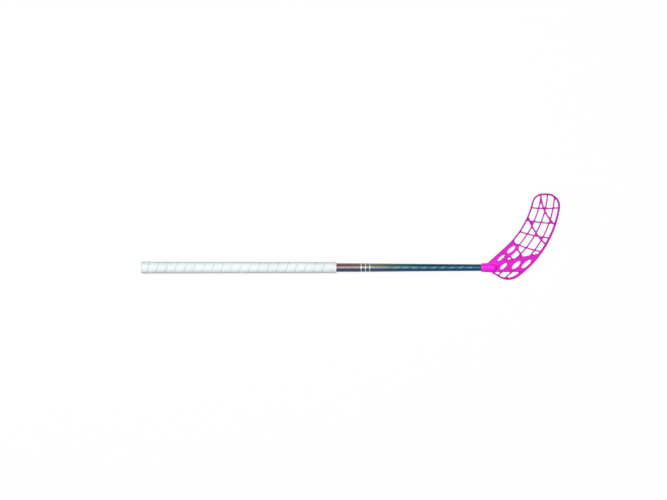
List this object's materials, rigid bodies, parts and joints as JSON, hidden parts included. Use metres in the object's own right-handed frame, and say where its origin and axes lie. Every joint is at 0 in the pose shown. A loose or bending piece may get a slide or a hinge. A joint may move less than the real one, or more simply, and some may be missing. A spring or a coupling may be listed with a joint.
{
  "type": "floorball stick",
  "caption": "Floorball stick: tapered composite shaft with a wound cushioned grip and butt cap, and an openwork moulded plastic blade with a hooked toe screwed on at its socket.",
  "frame": {"origin": "centre of the flat end of the butt cap, on the shaft's axis", "axes": "+X down the shaft from the butt to the blade, +Y across the shaft towards the toe of the blade, +Z out of the hollow face of the blade, towards which the toe hooks"},
  "size_m": [1.0689, 0.2211, 0.0414],
  "materials": {
    "shaft_paint": "clear-coated paint on a fibre composite tube, shifting from maroon through olive to dark teal",
    "cap_rubber": "matt moulded plastic",
    "grip_foam": "cushioned polyurethane grip tape, satin",
    "tape": "thin adhesive vinyl tape",
    "plug_plastic": "plain moulded plastic",
    "blade_plastic": "semi-gloss moulded polyethylene, magenta",
    "screw_steel": "zinc-plated steel"
  },
  "bodies": {
    "root": {"shaft": "shaft_paint", "butt_cap": "cap_rubber", "grip_strip": "grip_foam", "finishing_tape": "tape", "shaft_plug": "plug_plastic", "blade": "blade_plastic", "blade_screw_1": "screw_steel", "blade_screw_2": "screw_steel"}
  },
  "joints": []
}
